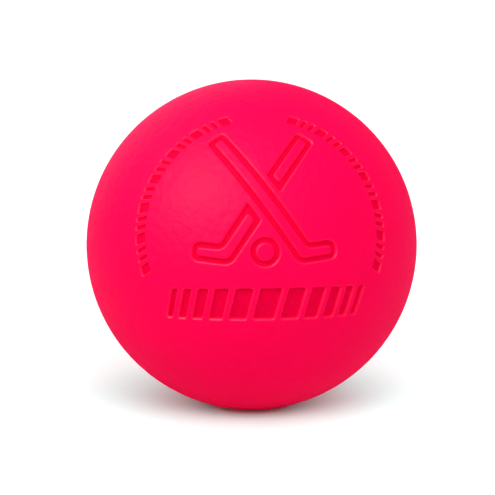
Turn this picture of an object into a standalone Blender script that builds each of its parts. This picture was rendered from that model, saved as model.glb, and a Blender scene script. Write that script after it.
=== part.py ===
"""A hollow low-bounce street hockey ball: two moulded vinyl half shells and the cement that joins them.

The rear half has a tapered tongue on its rim with a rounded tip, the front half has a groove that
takes it, and one ring of cement fills the space between them. The cavity holds only air.

Units are metres and +Z is up. The origin is the centre of the ball. Each piece is turned about its
own Z axis, the line through the ball's two poles, and an empty then lays the ball down: the front
pole faces -Y and is rolled up a little, as the ball was photographed.
"""

import math

import bmesh
import bpy

# The ball.
BALL_DIAMETER = 0.065
WALL = 0.0045

# The seam. The tongue stands in the middle of the wall, and its width is the width at its foot.
TONGUE_WIDTH = 0.0016
TONGUE_HEIGHT = 0.0024
TONGUE_DRAFT = math.radians(4)
TIP_RADIUS = 0.0004
RIM_CHAMFER = 0.0005

# The cement: its thickness all round the tongue, how far its outer edge lies below the ball's
# surface, and how far it is squeezed out into the cavity.
CEMENT_FILM = 0.0003
SEAM_RECESS = 0.0001
BEAD_BULGE = 0.00035

# How the ball lies: the front pole's angle above the horizon.
POLE_LIFT = math.radians(14.5)

# Facets: around the axis, from a pole to the seam outside and inside, over each rounded edge of the
# tongue's tip, and over the bead of cement in the cavity.
TURN_STEPS = 64
OUTER_STEPS = 16
INNER_STEPS = 9
TIP_STEPS = 2
BEAD_STEPS = 4
SHARP_EDGE = math.radians(25)
WELD_DISTANCE = 1e-6

# The finish, with linear colours.
VINYL_PINK = (1.0, 0.003, 0.080, 1.0)
VINYL_ROUGHNESS = 0.55
CEMENT_PINK = (0.72, 0.010, 0.055, 1.0)
CEMENT_ROUGHNESS = 0.35

# What follows from the sizes above. Heights are measured along the axis, from the middle of the seam.
OUTER_RADIUS = BALL_DIAMETER / 2
INNER_RADIUS = OUTER_RADIUS - WALL
MIDDLE_RADIUS = OUTER_RADIUS - WALL / 2
RIM_HEIGHT = CEMENT_FILM / 2
LAND = (WALL - TONGUE_WIDTH) / 2 - CEMENT_FILM
CHAMFER = min(RIM_CHAMFER, LAND / 2)
CHAMFER_HEIGHT = RIM_HEIGHT + CHAMFER
TIP_HEIGHT = TONGUE_HEIGHT - RIM_HEIGHT - TIP_RADIUS
TIP_OFFSET = (
    TONGUE_WIDTH / 2
    - (TIP_HEIGHT + RIM_HEIGHT) * math.tan(TONGUE_DRAFT)
    - TIP_RADIUS / math.cos(TONGUE_DRAFT)
)


def clear_scene():
    for old in list(bpy.data.objects):
        bpy.data.objects.remove(old, do_unlink=True)


def plastic(name, colour, roughness):
    material = bpy.data.materials.new(name)
    material.use_nodes = True
    shader = material.node_tree.nodes["Principled BSDF"]
    shader.inputs["Base Color"].default_value = colour
    shader.inputs["Roughness"].default_value = roughness
    shader.inputs["Metallic"].default_value = 0.0
    return material


def radius_at(height, sphere_radius):
    """How far from the axis a sphere's surface is at a height."""
    return math.sqrt(sphere_radius**2 - height**2)


def sphere_arc(sphere_radius, height, steps):
    """Profile points (distance from the axis, height) on a sphere, from its pole down to a height."""
    widest = math.acos(height / sphere_radius)
    angles = [widest * step / steps for step in range(steps)]
    arc = [(sphere_radius * math.sin(angle), sphere_radius * math.cos(angle)) for angle in angles]
    return arc + [(radius_at(height, sphere_radius), height)]


def mirrored(profile):
    """The same profile on the other side of the seam."""
    return [(radius, -height) for radius, height in profile]


def tongue_outline(offset, foot_height):
    """The tongue grown by an offset on all sides, from its outer foot over its tip to its inner foot."""
    tip_radius = TIP_RADIUS + offset
    taper = (TIP_HEIGHT - foot_height) * math.tan(TONGUE_DRAFT)
    side = [(TIP_OFFSET + tip_radius / math.cos(TONGUE_DRAFT) + taper, foot_height)]
    for step in range(TIP_STEPS + 1):
        angle = TONGUE_DRAFT + (math.pi / 2 - TONGUE_DRAFT) * step / TIP_STEPS
        side.append((TIP_OFFSET + tip_radius * math.cos(angle), TIP_HEIGHT + tip_radius * math.sin(angle)))
    outer_side = [(MIDDLE_RADIUS + out, height) for out, height in side]
    inner_side = [(MIDDLE_RADIUS - out, height) for out, height in reversed(side)]
    return outer_side + inner_side


def groove():
    """The front half's groove, which leaves the cement's thickness all round the tongue."""
    return tongue_outline(CEMENT_FILM, RIM_HEIGHT)


def tongue():
    """The rear half's tongue, whose feet are on that half's own rim."""
    return tongue_outline(0.0, -RIM_HEIGHT)


def chamfer():
    """The edge between the front half's rim and the cavity."""
    return [(INNER_RADIUS + CHAMFER, RIM_HEIGHT), (radius_at(CHAMFER_HEIGHT, INNER_RADIUS), CHAMFER_HEIGHT)]


def bead():
    """The cement squeezed out into the cavity: an arch from the front chamfer to the rear one."""
    arch = []
    for step in range(1, BEAD_STEPS):
        height = CHAMFER_HEIGHT * (1 - 2 * step / BEAD_STEPS)
        bulge = BEAD_BULGE * (1 - (height / CHAMFER_HEIGHT) ** 2)
        arch.append((radius_at(height, INNER_RADIUS) - bulge, height))
    return arch


def turned(name, profile, closed, material, pose):
    """One piece turned from its profile, whose two ends are on the axis unless it is a closed ring."""
    shape = bmesh.new()
    corners = [shape.verts.new((radius, 0.0, height)) for radius, height in profile]
    sides = [shape.edges.new(pair) for pair in zip(corners, corners[1:])]
    if closed:
        sides.append(shape.edges.new((corners[-1], corners[0])))
    bmesh.ops.spin(
        shape,
        geom=corners + sides,
        cent=(0, 0, 0),
        axis=(0, 0, 1),
        angle=math.tau,
        steps=TURN_STEPS,
        use_merge=True,
    )
    bmesh.ops.remove_doubles(shape, verts=shape.verts, dist=WELD_DISTANCE)
    bmesh.ops.recalc_face_normals(shape, faces=shape.faces)
    mesh = bpy.data.meshes.new(name)
    shape.to_mesh(mesh)
    shape.free()
    mesh.shade_smooth()
    mesh.set_sharp_from_angle(angle=SHARP_EDGE)
    mesh.materials.append(material)
    piece = bpy.data.objects.new(name, mesh)
    piece.parent = pose
    bpy.context.scene.collection.objects.link(piece)
    return piece


def ball_pose():
    """The empty that carries all the pieces, turned so that their own +Z leaves by the front pole."""
    pose = bpy.data.objects.new("ball_pose", None)
    pose.empty_display_size = OUTER_RADIUS
    pose.rotation_euler = (math.pi / 2 - POLE_LIFT, 0, 0)
    bpy.context.scene.collection.objects.link(pose)
    return pose


def front_half_shell(vinyl, pose):
    outside = sphere_arc(OUTER_RADIUS, RIM_HEIGHT, OUTER_STEPS)
    inside = sphere_arc(INNER_RADIUS, CHAMFER_HEIGHT, INNER_STEPS)
    rim = groove() + chamfer()[:1]
    return turned("front_half_shell", outside + rim + inside[::-1], False, vinyl, pose)


def rear_half_shell(vinyl, pose):
    outside = mirrored(sphere_arc(OUTER_RADIUS, RIM_HEIGHT, OUTER_STEPS))
    inside = mirrored(sphere_arc(INNER_RADIUS, CHAMFER_HEIGHT, INNER_STEPS))
    rim = tongue() + mirrored(chamfer()[:1])
    return turned("rear_half_shell", outside + rim + inside[::-1], False, vinyl, pose)


def seam_cement(cement, pose):
    edge = radius_at(RIM_HEIGHT, OUTER_RADIUS) - SEAM_RECESS
    on_the_front = [(edge, RIM_HEIGHT)] + groove() + chamfer()
    on_the_rear = [(edge, -RIM_HEIGHT)] + tongue() + mirrored(chamfer())
    return turned("seam_cement", on_the_front + bead() + on_the_rear[::-1], True, cement, pose)


def main():
    clear_scene()
    pose = ball_pose()
    vinyl = plastic("pink_vinyl", VINYL_PINK, VINYL_ROUGHNESS)
    cement = plastic("pink_cement", CEMENT_PINK, CEMENT_ROUGHNESS)
    front_half_shell(vinyl, pose)
    rear_half_shell(vinyl, pose)
    seam_cement(cement, pose)


main()
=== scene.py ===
import math

import bmesh
import bpy
from mathutils import Matrix, Vector
from mathutils.geometry import delaunay_2d_cdt
from mathutils.kdtree import KDTree


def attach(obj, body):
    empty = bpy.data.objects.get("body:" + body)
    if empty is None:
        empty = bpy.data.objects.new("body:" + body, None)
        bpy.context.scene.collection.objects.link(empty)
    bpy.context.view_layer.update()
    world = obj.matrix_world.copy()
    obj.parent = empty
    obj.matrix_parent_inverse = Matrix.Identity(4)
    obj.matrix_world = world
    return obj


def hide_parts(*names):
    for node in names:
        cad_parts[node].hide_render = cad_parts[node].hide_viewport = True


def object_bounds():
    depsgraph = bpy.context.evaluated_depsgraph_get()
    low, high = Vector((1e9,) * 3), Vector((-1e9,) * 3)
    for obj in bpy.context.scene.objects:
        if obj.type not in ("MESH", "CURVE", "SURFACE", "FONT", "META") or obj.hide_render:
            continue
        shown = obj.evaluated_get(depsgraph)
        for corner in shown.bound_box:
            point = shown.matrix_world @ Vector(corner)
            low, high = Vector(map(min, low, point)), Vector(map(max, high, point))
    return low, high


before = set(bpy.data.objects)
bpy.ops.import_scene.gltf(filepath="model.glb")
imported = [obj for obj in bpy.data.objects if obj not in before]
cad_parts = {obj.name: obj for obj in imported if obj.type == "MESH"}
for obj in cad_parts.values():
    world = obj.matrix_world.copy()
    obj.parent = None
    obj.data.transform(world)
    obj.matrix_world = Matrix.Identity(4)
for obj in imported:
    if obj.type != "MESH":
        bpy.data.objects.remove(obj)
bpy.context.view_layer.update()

# Rear half shell: one of the two halves of the ball, injection moulded in soft PVC with the pigment
# in the melt. It is plain outside. The tongue on its rim enters the front half's groove, where
# cement holds it.

MM = 0.001
ROUNDING = 0.001 * MM
ROUNDED_PLACES = 7
FRONT, REAR = 1, -1
OUTWARDS, INWARDS = 1, -1
NO_NORMAL = Vector((0, 0))  # a point without a normal takes it from its faces
TURN_STEPS = 160
OUTSIDE_STEPS = 48
INSIDE_STEPS = 24
RIM_EDGE = 0.12 * MM
RIM_EDGE_STEPS = 4
SHARP_EDGE = math.radians(40)


def corners_of(node):
    """The corners of a CAD solid."""
    return [corner.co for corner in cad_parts[node].data.vertices]


ball_radius = max(corner.length for corner in corners_of("rear_half_shell"))
cavity_radius = min(corner.length for corner in corners_of("rear_half_shell"))

# The ball's own axes: x to the right, y up across the marks, and z out of the front pole.
front_pole = sum(corners_of("front_half_shell"), Vector()).normalized()
rightwards = Vector((1, 0, 0))
ball_axes = Matrix((rightwards, front_pole.cross(rightwards), front_pole)).transposed()


def rim_of(node):
    """A half shell's rim as (radius, height) points, from the outer surface to the cavity."""
    rim = set()
    for corner in corners_of(node):
        across, up, height = ball_axes.transposed() @ corner
        off_sphere = min(abs(corner.length - radius) for radius in (ball_radius, cavity_radius))
        if across > 0 and abs(up) < ROUNDING <= off_sphere:
            rim.add((round(across, ROUNDED_PLACES), round(height, ROUNDED_PLACES)))
    return sorted(rim, reverse=True)


def dome(radius, side, first, last, steps, facing):
    """Points on a sphere from one angle off a pole to another, each (radius, height, normal)."""
    points = []
    for step in range(steps + 1):
        angle = first + (last - first) * step / steps
        way = Vector((math.sin(angle), side * math.cos(angle)))
        points.append((radius * way.x, radius * way.y, way * facing))
    return points


def rim_edge(land_height, side):
    """The rounded outer edge of a rim, from the ball's surface to the flat land."""
    centre_height = land_height + side * RIM_EDGE
    centre = math.sqrt(ball_radius**2 - centre_height**2) - RIM_EDGE
    points = []
    for step in range(RIM_EDGE_STEPS + 1):
        angle = math.pi / 2 * step / RIM_EDGE_STEPS
        way = Vector((math.cos(angle), -side * math.sin(angle)))
        points.append((centre + RIM_EDGE * way.x, centre_height + RIM_EDGE * way.y, way))
    return points


def turned(shape, profile, closed=False):
    """Faces turned about the ball's axis from points (radius, height, normal), and their rings."""
    layers = shape.verts.layers.float_vector
    normals = layers.get("normal") or layers.new("normal")
    rings = []
    for radius, height, normal in profile:
        ring = []
        for step in range(TURN_STEPS if radius > ROUNDING else 1):
            angle = math.tau * step / TURN_STEPS
            out = Vector((math.cos(angle), math.sin(angle), 0))
            corner = shape.verts.new(out * radius + Vector((0, 0, height)))
            corner[normals] = out * normal.x + Vector((0, 0, normal.y))
            ring.append(corner)
        rings.append(ring)
    pairs = list(zip(rings, rings[1:]))
    if closed:
        pairs.append((rings[-1], rings[0]))
    for near, far in pairs:
        for step in range(TURN_STEPS):
            after = step + 1
            corners = (
                near[step % len(near)],
                near[after % len(near)],
                far[after % len(far)],
                far[step % len(far)],
            )
            shape.faces.new(dict.fromkeys(corners))  # three corners where a ring is a pole
    return rings


def piece_from(name, shape, material, node):
    """The finished piece in place of its CAD node, with the normals that its shape gave."""
    bmesh.ops.recalc_face_normals(shape, faces=shape.faces)
    mesh = bpy.data.meshes.new(name)
    shape.to_mesh(mesh)
    shape.free()
    mesh.transform(ball_axes.to_4x4())
    mesh.shade_smooth()
    mesh.set_sharp_from_angle(angle=SHARP_EDGE)
    normals = [ball_axes @ Vector(entry.vector) for entry in mesh.attributes["normal"].data]
    mesh.attributes.remove(mesh.attributes["normal"])
    mesh.normals_split_custom_set_from_vertices(normals)
    mesh.materials.append(material)
    piece = bpy.data.objects.new(name, mesh)
    bpy.context.scene.collection.objects.link(piece)
    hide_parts(node)
    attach(piece, "root")
    return piece


def linear(colour):
    """An sRGB hex colour as the linear values that a shader takes."""
    channels = [int(colour[place:place + 2], 16) / 255 for place in (1, 3, 5)]
    return [c / 12.92 if c <= 0.04045 else ((c + 0.055) / 1.055) ** 2.4 for c in channels] + [1.0]


def add(tree, kind, settings, links):
    """One shader node with its settings, by property or by input, and the links that come into it."""
    node = tree.nodes.new(kind)
    for name, value in settings.items():
        if isinstance(name, str) and hasattr(node, name):
            setattr(node, name, value)
        else:
            node.inputs[name].default_value = value
    for name, source in links.items():
        tree.links.new(source, node.inputs[name])
    return node


def new_material(name):
    """A material whose nodes are still to be added."""
    material = bpy.data.materials.new(name)
    material.use_nodes = True
    material.node_tree.nodes.clear()
    return material


# Soft PVC with a fluorescent pink pigment, moulded against a fine blasted mould: an even, very
# saturated pink under a thin satin bloom. The marks' floors were polished in the mould, so they carry
# hardly any bloom, and their colour is a darker pink as painted shade in the recesses. Handling has
# rubbed the marks' upper edges up.
FIELD_PINK = "#FF004E"
FIELD_PINK_DENSER = "#FD004A"
# The darker pink below is painted shade, coloured onto the marks' floors.
SUNK_SHADE_PINK = "#E8003C"
PIGMENT_CLOUDS = 9 * MM
MOULD_WAVE = 1.6 * MM
MOULD_WAVE_HEIGHT = 0.18 * MM
BLAST_GRAIN = 0.35 * MM  # real blasting is nearer 0.08 mm, too fine to show
BLAST_GRAIN_HEIGHT = 0.03 * MM
GRAIN_LOW, GRAIN_HIGH = 0.3, 0.7
SMOOTHEST, ROUGHEST = 0.4, 0.5
VINYL_IOR = 1.53
BLOOM = 0.13
BLOOM_RUBBED = 0.75
BLOOM_SUNK = 0.03
BLOOM_ROUGHNESS = 0.46
BLOOM_IOR = 1.3
LIGHT_WITHIN = 0.1
LIGHT_REACH = 1.0 * MM
LIGHT_REACH_RGB = (1.0, 0.2, 0.3)

# Where each starts or ends on the way into a mark: 0 is the ball's surface and 1 the mark's floor.
RUBBED_TO = 0.15
BLOOM_FADES_FROM, BLOOM_FADES_TO = 0.45, 0.8
# The painted shade darkens the colour from the first of these depths to the second.
SUNK_SHADE_FROM, SUNK_SHADE_TO = 0.5, 1.0

vinyl = new_material("soft_pvc_moulded_satin_pink")
tree = vinyl.node_tree
where = add(tree, "ShaderNodeTexCoord", {}, {}).outputs["Object"]
recess = add(tree, "ShaderNodeAttribute", {"attribute_name": "recess"}, {}).outputs["Fac"]
clouds = add(
    tree,
    "ShaderNodeTexNoise",
    {"Scale": 1 / PIGMENT_CLOUDS, "Detail": 2.0},
    {"Vector": where},
)
wave = add(tree, "ShaderNodeTexNoise", {"Scale": 1 / MOULD_WAVE, "Detail": 1.0}, {"Vector": where})
grain = add(tree, "ShaderNodeTexNoise", {"Scale": 1 / BLAST_GRAIN, "Detail": 2.0}, {"Vector": where})
field = add(
    tree,
    "ShaderNodeMix",
    {"data_type": "RGBA", 6: linear(FIELD_PINK), 7: linear(FIELD_PINK_DENSER)},
    {0: clouds.outputs["Fac"]},
)
# Painted shade: towards a mark's floor the pink darkens to the darker sunk pink.
painted_sunk_shade = add(
    tree,
    "ShaderNodeMapRange",
    {"From Min": SUNK_SHADE_FROM, "From Max": SUNK_SHADE_TO},
    {"Value": recess},
)
pink = add(
    tree,
    "ShaderNodeMix",
    {"data_type": "RGBA", 7: linear(SUNK_SHADE_PINK)},
    {0: painted_sunk_shade.outputs["Result"], 6: field.outputs[2]},
)
satin = add(
    tree,
    "ShaderNodeMapRange",
    {"From Min": GRAIN_LOW, "From Max": GRAIN_HIGH, "To Min": SMOOTHEST, "To Max": ROUGHEST},
    {"Value": grain.outputs["Fac"]},
)
waved = add(
    tree,
    "ShaderNodeBump",
    {"Distance": MOULD_WAVE_HEIGHT},
    {"Height": wave.outputs["Fac"]},
)
grained = add(
    tree,
    "ShaderNodeBump",
    {"Distance": BLAST_GRAIN_HEIGHT},
    {"Height": grain.outputs["Fac"], "Normal": waved.outputs["Normal"]},
)
rubbed = add(
    tree,
    "ShaderNodeMapRange",
    {"From Min": 0.0, "From Max": RUBBED_TO, "To Min": BLOOM, "To Max": BLOOM_RUBBED},
    {"Value": recess},
)
bloom = add(
    tree,
    "ShaderNodeMapRange",
    {"From Min": BLOOM_FADES_FROM, "From Max": BLOOM_FADES_TO, "To Max": BLOOM_SUNK},
    {"Value": recess, "To Min": rubbed.outputs["Result"]},
)
shader = add(
    tree,
    "ShaderNodeBsdfPrincipled",
    {
        "IOR": VINYL_IOR,
        "Specular IOR Level": 0.0,
        "Coat Roughness": BLOOM_ROUGHNESS,
        "Coat IOR": BLOOM_IOR,
        "Subsurface Weight": LIGHT_WITHIN,
        "Subsurface Radius": LIGHT_REACH_RGB,
        "Subsurface Scale": LIGHT_REACH,
    },
    {
        "Base Color": pink.outputs[2],
        "Roughness": satin.outputs["Result"],
        "Coat Weight": bloom.outputs["Result"],
        "Normal": grained.outputs["Normal"],
        "Coat Normal": grained.outputs["Normal"],
    },
)
add(tree, "ShaderNodeOutputMaterial", {}, {"Surface": shader.outputs["BSDF"]})

# The rim's inner edge is chamfered at 45 degrees, which gives the height where the cavity begins.
rear_rim = rim_of("rear_half_shell")
rear_land = rear_rim[0][1]
rear_lip = rear_rim[-1][0] - cavity_radius - rear_land
rear_edge = rim_edge(rear_land, REAR)
rear_edge_angle = math.atan2(rear_edge[0][0], -rear_edge[0][1])
rear_lip_angle = math.acos(rear_lip / cavity_radius)
rear_outside = dome(ball_radius, REAR, 0, rear_edge_angle, OUTSIDE_STEPS, OUTWARDS)
rear_inside = dome(cavity_radius, REAR, rear_lip_angle, 0, INSIDE_STEPS, INWARDS)
rear_hidden = [(radius, height, NO_NORMAL) for radius, height in rear_rim]

shape = bmesh.new()
turned(shape, rear_outside[:-1] + rear_edge + rear_hidden + rear_inside)
rear_shell = piece_from("rear_vinyl_shell", shape, vinyl, "rear_half_shell")

# Seam cement: a ring of vinyl cement that was spread in the groove and squeezed thin when the halves
# were pressed together. Outside, only its edge shows, as a fine line a little below the surface.

EDGE_DEPTH = 0.1 * MM
BEAD = 0.35 * MM
BEAD_STEPS = 8

# Cured vinyl cement, tinted to match: a darker pink with smears of more and less gloss.
CEMENT_PINK = "#D9104A"
CEMENT_PINK_DARKER = "#C00A3C"
CEMENT_SMEARS = 1.5 * MM
CEMENT_SMOOTHEST, CEMENT_ROUGHEST = 0.3, 0.5
CEMENT_IOR = 1.5
CEMENT_SPECULAR = 0.05

cement = new_material("vinyl_cement_cured_half_gloss")
tree = cement.node_tree
where = add(tree, "ShaderNodeTexCoord", {}, {}).outputs["Object"]
smears = add(tree, "ShaderNodeTexNoise", {"Scale": 1 / CEMENT_SMEARS, "Detail": 3.0}, {"Vector": where})
pink = add(
    tree,
    "ShaderNodeMix",
    {"data_type": "RGBA", 6: linear(CEMENT_PINK), 7: linear(CEMENT_PINK_DARKER)},
    {0: smears.outputs["Fac"]},
)
half_gloss = add(
    tree,
    "ShaderNodeMapRange",
    {"To Min": CEMENT_SMOOTHEST, "To Max": CEMENT_ROUGHEST},
    {"Value": smears.outputs["Fac"]},
)
shader = add(
    tree,
    "ShaderNodeBsdfPrincipled",
    {"IOR": CEMENT_IOR, "Specular IOR Level": CEMENT_SPECULAR},
    {"Base Color": pink.outputs[2], "Roughness": half_gloss.outputs["Result"]},
)
add(tree, "ShaderNodeOutputMaterial", {}, {"Surface": shader.outputs["BSDF"]})

# The ring lies against both rims and swells into the cavity as a bead between their inner edges.
front_rim = rim_of("front_half_shell")
front_land = front_rim[0][1]
front_lip = front_rim[-1][0] - cavity_radius + front_land
edge_radius = math.sqrt(ball_radius**2 - front_land**2) - EDGE_DEPTH
lip_radius = math.sqrt(cavity_radius**2 - front_lip**2)
bead = []
for step in range(1, BEAD_STEPS):
    height = front_lip * (1 - 2 * step / BEAD_STEPS)
    swell = BEAD * (1 - (height / front_lip) ** 2)
    bead.append((math.sqrt(cavity_radius**2 - height**2) - swell, height))
outline = [(edge_radius, front_land)] + front_rim + [(lip_radius, front_lip)] + bead
outline += [(lip_radius, -front_lip)] + rear_rim[::-1] + [(edge_radius, rear_land)]

shape = bmesh.new()
turned(shape, [(radius, height, NO_NORMAL) for radius, height in outline], closed=True)
seam = piece_from("seam_cement_ring", shape, cement, "seam_cement")

# Front half shell: the other half of the ball, moulded in the same soft PVC, with a groove in its rim
# for the tongue. Raised figures on the mould sank its marks: crossed sticks over a ball, a row of
# slanted bars, and two arcs of slanted blocks around them.

SUNK, RAISED = 1, -1
MARK_DEPTH = 0.75 * MM
MARK_TOP_ROUND = 0.4 * MM
MARK_FOOT_ROUND = 0.15 * MM
MARK_WALL = math.radians(70)
MARK_EDGE_STEPS = 3
MARK_SPACING = 1.0 * MM
SMALL_MARKS = 0.7  # the small blocks are shallower and crisper by this factor
CURVE_STEP = math.radians(24)
CIRCLE_STEPS = 40
FIELD_RADIUS = 31 * MM
FIELD_SPACING = 1.2 * MM
FIELD_CLEAR = 0.55 * MM
FIELD_MERGING = 1e-9
BAND_STEPS = 24


def rounded(corners, radii):
    """A closed outline, anticlockwise, with each corner rounded to its radius."""
    outline = []
    for place, (corner, radius) in enumerate(zip(corners, radii)):
        back = (corners[place - 1] - corner).normalized()
        ahead = (corners[(place + 1) % len(corners)] - corner).normalized()
        opening = back.angle(ahead)
        reach = radius / math.tan(opening / 2)
        middle = (back + ahead).normalized()
        centre = corner + middle * (radius / math.sin(opening / 2))
        start = corner + back * reach - centre
        turning = math.pi - opening
        way = 1 if back.cross(ahead) < 0 else -1
        steps = max(2, math.ceil(turning / CURVE_STEP))
        for step in range(steps + 1):
            angle = way * turning * step / steps
            outline.append(centre + Matrix.Rotation(angle, 2) @ start)
    return outline


def circle(centre, radius):
    """A round outline, anticlockwise."""
    angles = [math.tau * step / CIRCLE_STEPS for step in range(CIRCLE_STEPS)]
    return [centre + Matrix.Rotation(angle, 2) @ Vector((radius, 0)) for angle in angles]


def slanted(foot, width, slant):
    """The corners of a slanted block, anticlockwise from its left foot."""
    across = Vector((width, 0))
    return [foot, foot + across, foot + across + slant, foot + slant]


def spaced(outline):
    """The same outline with points along its straight sides, so that they follow the ball."""
    filled = []
    for place, corner in enumerate(outline):
        following = outline[(place + 1) % len(outline)]
        pieces = max(1, math.ceil((following - corner).length / MARK_SPACING))
        filled += [corner.lerp(following, piece / pieces) for piece in range(pieces)]
    return filled


def meet(first, second):
    """Where two lines cross, each given as a point and a direction."""
    (start, way), (other_start, other_way) = first, second
    return start + way * ((other_start - start).cross(other_way) / way.cross(other_way))


# Crossed sticks, drawn as a sunk line round a raised core. One passes over the other.
STICK_WIDTH = 4.1 * MM
STICK_LINE = 1.2 * MM
STICK_GAP = 1.0 * MM
STICK_LEAN = math.radians(35)
CROSSING = Vector((0, 6.8 * MM))
GRIP_REACH = 16.4 * MM
BLADE_TILT = math.radians(8)
BLADE_SOLE = Vector((8 * MM, -6 * MM))
BLADE_DEPTH = 3.9 * MM
TOE_REACH = 6.6 * MM
GRIP_ROUND = 0.8 * MM
HEEL_ROUND = 2.2 * MM
TOE_ROUND = 1.5 * MM
CROOK_ROUND = 1.0 * MM
LEAST_ROUND = 0.4 * MM


def stick_outlines(inset):
    """The stick that passes over, and the two lengths of the one below, drawn in by an inset."""
    up = Vector((-math.sin(STICK_LEAN), math.cos(STICK_LEAN)))
    out = Vector((up.y, -up.x))
    along = Vector((math.cos(BLADE_TILT), math.sin(BLADE_TILT)))
    rise = Vector((-along.y, along.x))
    half = STICK_WIDTH / 2 - inset
    left = (CROSSING - out * half, up)
    right = (CROSSING + out * half, up)
    grip = (CROSSING + up * (GRIP_REACH - inset), out)
    sole = (BLADE_SOLE + rise * inset, along)
    top = (BLADE_SOLE + rise * (BLADE_DEPTH - inset), along)
    toe = (BLADE_SOLE + along * (TOE_REACH - inset), rise)
    over = Vector((-up.x, up.y))
    aside = Vector((over.y, -over.x)) * (STICK_WIDTH / 2 + STICK_GAP + inset)
    above = (CROSSING - aside, over)
    below = (CROSSING + aside, over)

    grip_round, heel_round, toe_round = [
        max(LEAST_ROUND, radius - inset) for radius in (GRIP_ROUND, HEEL_ROUND, TOE_ROUND)
    ]
    blade = [meet(left, sole), meet(toe, sole), meet(toe, top), meet(right, top)]
    blade_rounds = [heel_round, toe_round, toe_round, CROOK_ROUND + inset]
    whole = rounded(
        [meet(left, grip)] + blade + [meet(right, grip)],
        [grip_round] + blade_rounds + [grip_round],
    )
    upper = rounded(
        [meet(left, grip), meet(left, above), meet(right, above), meet(right, grip)],
        [grip_round, LEAST_ROUND, LEAST_ROUND, grip_round],
    )
    lower = rounded(
        [meet(left, below)] + blade + [meet(right, below)],
        [LEAST_ROUND] + blade_rounds + [LEAST_ROUND],
    )
    mirror = Matrix(((-1, 0), (0, 1)))
    return [whole] + [[mirror @ point for point in reversed(part)] for part in (upper, lower)]


sunk = stick_outlines(0.0)
raised = stick_outlines(STICK_LINE)

# The ball below the crossing, drawn with the same sunk line.
EMBLEM_BALL = Vector((0, -3.7 * MM))
EMBLEM_BALL_RADIUS = 2.9 * MM
sunk.append(circle(EMBLEM_BALL, EMBLEM_BALL_RADIUS))
raised.append(circle(EMBLEM_BALL, EMBLEM_BALL_RADIUS - STICK_LINE))

# A row of slanted bars, the widest in the middle.
BAR_WIDTHS = [width * MM for width in (1.4, 1.8, 2.3, 2.9, 3.6, 4.4, 3.6, 2.9, 2.3, 1.8, 1.4)]
BAR_GAP = 1.2 * MM
BAR_HEIGHT = 6.4 * MM
BAR_MIDDLE = Vector((0.5 * MM, -13.9 * MM))
BAR_ROUND = 0.4 * MM
SLANT = math.tan(math.radians(14))
bar_slant = Vector((BAR_HEIGHT * SLANT, BAR_HEIGHT))
bar_left = -(sum(BAR_WIDTHS) + BAR_GAP * (len(BAR_WIDTHS) - 1)) / 2
for width in BAR_WIDTHS:
    foot = BAR_MIDDLE + Vector((bar_left, 0)) - bar_slant / 2
    sunk.append(rounded(slanted(foot, width, bar_slant), [BAR_ROUND] * 4))
    bar_left += width + BAR_GAP

# Two arcs of slanted blocks, one wide and two narrow in turn.
BLOCK_WIDTHS = [width * MM for width in (2.2, 1.0, 1.0) * 6 + (2.2,)]
BLOCK_GAP = 0.8 * MM
BLOCK_HEIGHT = 2.4 * MM
BLOCK_ROUND = 0.3 * MM
ARC_RADIUS = 25.6 * MM
ARC_START = math.radians(14)
block_slant = Vector((BLOCK_HEIGHT * SLANT, BLOCK_HEIGHT))
block_left = ARC_START * ARC_RADIUS
small = []
for width in BLOCK_WIDTHS:
    angle = (block_left + width / 2) / ARC_RADIUS
    foot = Vector((-width / 2, ARC_RADIUS)) - block_slant / 2
    block = slanted(foot, width, block_slant)
    right_block = [Matrix.Rotation(-angle, 2) @ corner for corner in block]
    left_block = [Vector((-corner.x, corner.y)) for corner in reversed(right_block)]
    small.append(rounded(right_block, [BLOCK_ROUND] * 4))
    small.append(rounded(left_block, [BLOCK_ROUND] * 4))
    block_left += width + BLOCK_GAP

# How a mark's edge goes down, as (offset from the outline, depth, slope): a rounded top, a steep wall
# that lets the moulding leave the mould, and a rounded foot.
edge_rounds = MARK_TOP_ROUND + MARK_FOOT_ROUND
wall_run = (MARK_DEPTH - edge_rounds * (1 - math.cos(MARK_WALL))) / math.tan(MARK_WALL)
edge_half = (edge_rounds * math.sin(MARK_WALL) + wall_run) / 2
slopes = [MARK_WALL * step / MARK_EDGE_STEPS for step in range(MARK_EDGE_STEPS + 1)]
mark_edge = []
for slope in slopes:
    offset = edge_half - MARK_TOP_ROUND * math.sin(slope)
    mark_edge.append((offset, MARK_TOP_ROUND * (1 - math.cos(slope)), slope))
for slope in reversed(slopes):
    offset = MARK_FOOT_ROUND * math.sin(slope) - edge_half
    mark_edge.append((offset, MARK_DEPTH - MARK_FOOT_ROUND * (1 - math.cos(slope)), slope))


def corner_way(outline, place):
    """The outward way at a corner of an anticlockwise outline, as long as keeps its sides parallel."""
    corner = outline[place]
    before = (corner - outline[place - 1]).normalized()
    after = (outline[(place + 1) % len(outline)] - corner).normalized()
    normals = [Vector((way.y, -way.x)) for way in (before, after)]
    middle = (normals[0] + normals[1]).normalized()
    return middle / middle.dot(normals[0])


def within(point, outline):
    """Whether a point is inside a closed outline."""
    inside = False
    for place, corner in enumerate(outline):
        last = outline[place - 1]
        if (corner.y > point.y) != (last.y > point.y):
            crossing = corner.x + (point.y - corner.y) * (last.x - corner.x) / (last.y - corner.y)
            inside ^= point.x < crossing
    return inside


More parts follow.
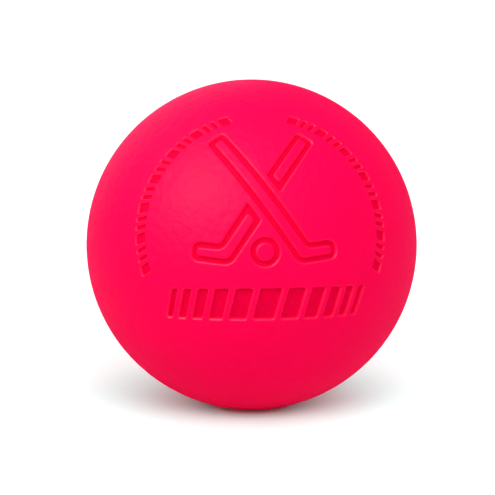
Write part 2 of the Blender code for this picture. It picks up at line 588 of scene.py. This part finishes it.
# The marked field laid flat, pole in the middle. Each point comes with its depth, its recess from 0
# to 1 and the way its surface leans. The field's rim and each line of a mark's edge are closed loops.
LEVEL = Vector((0, 0))
laid = []
for step in range(TURN_STEPS):
    rim_point = Matrix.Rotation(math.tau * step / TURN_STEPS, 2) @ Vector((FIELD_RADIUS, 0))
    laid.append((rim_point, 0.0, 0.0, LEVEL))
loops = [list(range(TURN_STEPS))]
marks = [(outline, SUNK, 1.0) for outline in map(spaced, sunk)]
marks += [(outline, RAISED, 1.0) for outline in map(spaced, raised)]
marks += [(outline, SUNK, SMALL_MARKS) for outline in map(spaced, small)]
for outline, side, size in marks:
    ways = [corner_way(outline, place) for place in range(len(outline))]
    for offset, depth, slope in mark_edge:
        loops.append(list(range(len(laid), len(laid) + len(outline))))
        for corner, way in zip(outline, ways):
            edge_point = corner + way * offset * side * size
            lean = way.normalized() * -side * math.sin(slope)
            laid.append((edge_point, depth * size, depth / MARK_DEPTH, lean))

# Rows of points fill the field where they are clear of the loops.
taken = KDTree(len(laid))
for place, (point, depth, sunken, lean) in enumerate(laid):
    taken.insert(point.to_3d(), place)
taken.balance()
row_height = FIELD_SPACING * math.sqrt(3) / 2
rows = math.ceil(FIELD_RADIUS / row_height)
for row in range(-rows, rows + 1):
    for column in range(-rows, rows + 1):
        point = Vector(((column + row % 2 / 2) * FIELD_SPACING, row * row_height))
        clear = taken.find(point.to_3d())[2] > FIELD_CLEAR
        if clear and point.length < FIELD_RADIUS - FIELD_CLEAR:
            level = sum(side * size for outline, side, size in marks if within(point, outline))
            laid.append((point, MARK_DEPTH * level, 1.0 if level > 0 else 0.0, LEVEL))

flat = [point for point, depth, sunken, lean in laid]
sides = [pair for loop in loops for pair in zip(loop, loop[1:] + loop[:1])]
_, _, triangles, origins, _, _ = delaunay_2d_cdt(flat, sides, [], 0, FIELD_MERGING, True)

front_edge = rim_edge(front_land, FRONT)
front_edge_angle = math.atan2(front_edge[0][0], front_edge[0][1])
front_lip_angle = math.acos(front_lip / cavity_radius)
field_angle = FIELD_RADIUS / ball_radius
front_outside = dome(ball_radius, FRONT, field_angle, front_edge_angle, BAND_STEPS, OUTWARDS)
front_inside = dome(cavity_radius, FRONT, front_lip_angle, 0, INSIDE_STEPS, INWARDS)
front_hidden = [(radius, height, NO_NORMAL) for radius, height in front_rim]

# The field is wrapped onto the ball and joined to the turned part at its rim.
shape = bmesh.new()
recess_layer = shape.verts.layers.float.new("recess")
rings = turned(shape, front_outside[:-1] + front_edge + front_hidden + front_inside)
normals = shape.verts.layers.float_vector["normal"]
field_corners = []
for origin in origins:
    place = origin[0]
    if place < TURN_STEPS:
        field_corners.append(rings[0][place])
        continue
    point, depth, sunken, lean = laid[place]
    angle = point.length / ball_radius
    out = point.normalized().to_3d()
    around = Vector((-out.y, out.x, 0))
    way = out * math.sin(angle) + Vector((0, 0, math.cos(angle)))
    down = out * math.cos(angle) - Vector((0, 0, math.sin(angle)))
    tilt = down * lean.to_3d().dot(out) + around * lean.to_3d().dot(around)
    corner = shape.verts.new(way * (ball_radius - depth))
    corner[normals] = tilt + way * math.sqrt(max(0.0, 1 - tilt.length_squared))
    corner[recess_layer] = sunken
    field_corners.append(corner)
for triangle in triangles:
    shape.faces.new([field_corners[place] for place in triangle])
front_shell = piece_from("front_vinyl_shell", shape, vinyl, "front_half_shell")

# Floor: a wide sheet of matt white board that the ball lies on. What it throws back at the ball comes
# off pale paint. The camera sees it lit up to white, with painted shadow round the ball: a darker, warm
# patch where the ball touches it, and a cooler ring around that, painted to take the ball's pink glow
# out of its shadow.

BOARD_HALF = 4.0
BOARD_PAINT = "#CECECE"
BOARD_REFLECTED = "#FFFFFF"
BOARD_SEEN = (1.05, 1.05, 1.05, 1.0)
# Painted shadow that the camera sees: a cooler ring round the ball and a darker, warm patch at the
# contact.
BOARD_PAINTED_SHADOW_TINT = (0.78, 1.13, 1.1, 1.0)
BOARD_PAINTED_CONTACT_SHADOW = (1.1, 0.64, 0.62, 1.0)
CONTACT_SHADOW_NEAR, CONTACT_SHADOW_FAR = 5 * MM, 9.5 * MM
SHADOW_TINT_NEAR, SHADOW_TINT_FAR = 20 * MM, 60 * MM
board_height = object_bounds()[0].z

board = new_material("matt_white_board")
tree = board.node_tree
rays = add(tree, "ShaderNodeLightPath", {}, {})
mirrored = add(
    tree,
    "ShaderNodeMath",
    {"operation": "MAXIMUM"},
    {0: rays.outputs["Is Glossy Ray"], 1: rays.outputs["Is Transmission Ray"]},
)
reflected = add(
    tree,
    "ShaderNodeMix",
    {"data_type": "RGBA", 6: linear(BOARD_PAINT), 7: linear(BOARD_REFLECTED)},
    {0: mirrored.outputs[0]},
)
where = add(tree, "ShaderNodeTexCoord", {}, {}).outputs["Object"]
distance = add(tree, "ShaderNodeVectorMath", {"operation": "LENGTH"}, {0: where})
contact_shadow_fade = add(
    tree,
    "ShaderNodeMapRange",
    {"interpolation_type": "SMOOTHSTEP", "From Min": CONTACT_SHADOW_NEAR, "From Max": CONTACT_SHADOW_FAR},
    {"Value": distance.outputs["Value"]},
)
# Painted contact shadow: the warm dark patch at the contact, fading into the painted cooler ring.
painted_shadow = add(
    tree,
    "ShaderNodeMix",
    {"data_type": "RGBA", 6: BOARD_PAINTED_CONTACT_SHADOW, 7: BOARD_PAINTED_SHADOW_TINT},
    {0: contact_shadow_fade.outputs["Result"]},
)
shadow_tint_fade = add(
    tree,
    "ShaderNodeMapRange",
    {"interpolation_type": "SMOOTHSTEP", "From Min": SHADOW_TINT_NEAR, "From Max": SHADOW_TINT_FAR},
    {"Value": distance.outputs["Value"]},
)
seen = add(
    tree,
    "ShaderNodeMix",
    {"data_type": "RGBA", 7: BOARD_SEEN},
    {0: shadow_tint_fade.outputs["Result"], 6: painted_shadow.outputs[2]},
)
white = add(
    tree,
    "ShaderNodeMix",
    {"data_type": "RGBA"},
    {0: rays.outputs["Is Camera Ray"], 6: reflected.outputs[2], 7: seen.outputs[2]},
)
paint = add(tree, "ShaderNodeBsdfDiffuse", {}, {"Color": white.outputs[2]})
add(tree, "ShaderNodeOutputMaterial", {}, {"Surface": paint.outputs[0]})

shape = bmesh.new()
bmesh.ops.create_grid(shape, x_segments=1, y_segments=1, size=BOARD_HALF)
mesh = bpy.data.meshes.new("floor")
shape.to_mesh(mesh)
shape.free()
mesh.materials.append(board)
floor = bpy.data.objects.new("floor", mesh)
floor.location.z = board_height
bpy.context.scene.collection.objects.link(floor)

# Light: the soft light of a small white studio. A wide softbox hangs overhead, one in front fills in,
# and one on the left models the marks. Two behind light the back and the rim, and one lights the
# board.

ROOM_LIGHT = 0.6
LAMP_DISTANCE = 5.0


def softbox(name, way, width, height, level, lit=()):
    """A lamp that lights a white card at the ball to a level. With lit, only those pieces get it."""
    lamp = bpy.data.lights.new(name, "AREA")
    lamp.shape = "RECTANGLE"
    lamp.size = width
    lamp.size_y = height
    lamp.energy = level * math.pi**2 * LAMP_DISTANCE**2
    box = bpy.data.objects.new(name, lamp)
    box.location = Vector(way).normalized() * LAMP_DISTANCE
    box.rotation_mode = "QUATERNION"
    box.rotation_quaternion = Vector(way).to_track_quat("Z", "Y")
    bpy.context.scene.collection.objects.link(box)
    if lit:
        box.light_linking.receiver_collection = bpy.data.collections.new(name)
        for piece in lit:
            box.light_linking.receiver_collection.objects.link(piece)
    return box


ball = (rear_shell, seam, front_shell)
softbox("overhead_softbox", (0.02, -0.44, 0.9), 6.0, 6.0, 0.45)
softbox("left_softbox", (-0.61, -0.39, 0.69), 2.2, 2.2, 0.4, ball)
softbox("back_softbox", (-0.3, 0.92, 0.3), 4.0, 4.0, 0.4, ball)
softbox("board_softbox", (-0.09, -0.88, 0.47), 9.0, 2.5, 1.3, (floor,))
front_lamp = softbox("front_softbox", (0.06, -0.8, 0.57), 4.0, 4.0, 0.2)
front_lamp.visible_glossy = False
right_lamp = softbox("right_softbox", (0.77, 0.62, 0.12), 3.0, 3.0, 0.12, ball)
right_lamp.visible_glossy = False

# Near the left lamp, a wider one for reflections only, which gives the bloom its broad highlight.
highlight_lamp = softbox("highlight_softbox", (-0.56, -0.45, 0.7), 4.5, 3.5, 3.2)
highlight_lamp.visible_diffuse = False

room = bpy.data.worlds.new("white_room")
room.use_nodes = True
room.node_tree.nodes["Background"].inputs["Color"].default_value = (1, 1, 1, 1)
room.node_tree.nodes["Background"].inputs["Strength"].default_value = ROOM_LIGHT
bpy.context.scene.world = room

# Camera: a long lens a little above the ball and a little to its left. The ball's radius and its
# distance from the middle of the picture are in pixels.

FRAME_PIXELS = 495
BALL_PIXELS = 165.2
BALL_RIGHT_PIXELS = 4.1
BALL_UP_PIXELS = 3.0
CAMERA_AZIMUTH = math.radians(-4.6)
CAMERA_ELEVATION = math.radians(10.5)
CAMERA_DISTANCE = 0.75

lens = bpy.data.cameras.new("camera")
outline_angle = math.asin(ball_radius / CAMERA_DISTANCE)
lens.lens = lens.sensor_width * BALL_PIXELS / math.tan(outline_angle) / FRAME_PIXELS
camera = bpy.data.objects.new("camera", lens)
camera_back = Vector((
    math.sin(CAMERA_AZIMUTH) * math.cos(CAMERA_ELEVATION),
    -math.cos(CAMERA_AZIMUTH) * math.cos(CAMERA_ELEVATION),
    math.sin(CAMERA_ELEVATION),
))
camera_right = Vector((math.cos(CAMERA_AZIMUTH), math.sin(CAMERA_AZIMUTH), 0))
camera_up = camera_back.cross(camera_right)
pixel = ball_radius / BALL_PIXELS
aim = -camera_right * BALL_RIGHT_PIXELS * pixel - camera_up * BALL_UP_PIXELS * pixel
camera.location = camera_back * CAMERA_DISTANCE
camera.rotation_mode = "QUATERNION"
camera.rotation_quaternion = (aim - camera.location).to_track_quat("-Z", "Y")
bpy.context.scene.collection.objects.link(camera)
bpy.context.scene.camera = camera
bpy.context.scene.view_settings.view_transform = "Standard"
